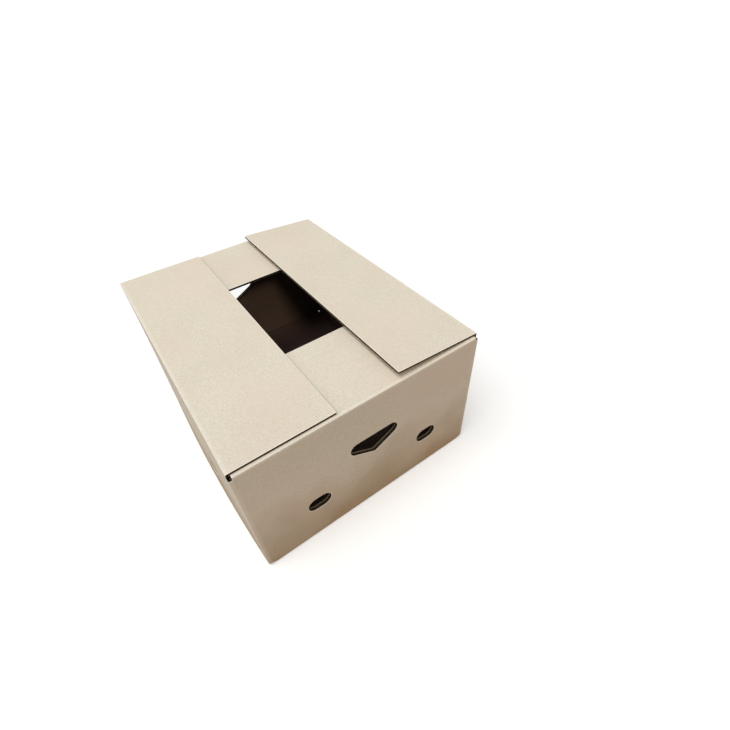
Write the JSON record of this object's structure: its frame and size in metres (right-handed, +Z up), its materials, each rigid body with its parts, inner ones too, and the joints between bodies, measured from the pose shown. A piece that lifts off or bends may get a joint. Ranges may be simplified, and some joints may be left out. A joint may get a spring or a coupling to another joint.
{
  "type": "telescoping corrugated carton",
  "caption": "Two-part corrugated carton: an open-topped lid with long hinged flaps over a tray, with cut hand holes and oval vents.",
  "frame": {"origin": "on the floor under the middle of the carton, between its two long and two short sides", "axes": "+X across the ends towards the lifted flap, +Y along the length from the near end to the far end, +Z up"},
  "size_m": [0.4178, 0.51, 0.2594],
  "materials": {
    "lid_board": "matte",
    "tray_board": "matte"
  },
  "bodies": {
    "tray": {"base_tray": "tray_board"},
    "lid": {"lid": "lid_board"},
    "left_flap": {"lid_flap_left": "lid_board"},
    "right_flap": {"lid_flap_right": "lid_board"}
  },
  "joints": [
    {"name": "lid_lift", "type": "slide", "parent": "tray", "child": "lid", "axis": [0, 0, 1], "range_m": [0, 0.27]},
    {"name": "left_flap_fold", "type": "hinge", "parent": "lid", "child": "left_flap", "pos_m": [-0.2, 0, 0.25], "axis": [0, -1, 0], "range_deg": [0, 255]},
    {"name": "right_flap_fold", "type": "hinge", "parent": "lid", "child": "right_flap", "pos_m": [0.2, 0, 0.25], "axis": [0, 1, 0], "range_deg": [-3.6, 251.4]}
  ]
}
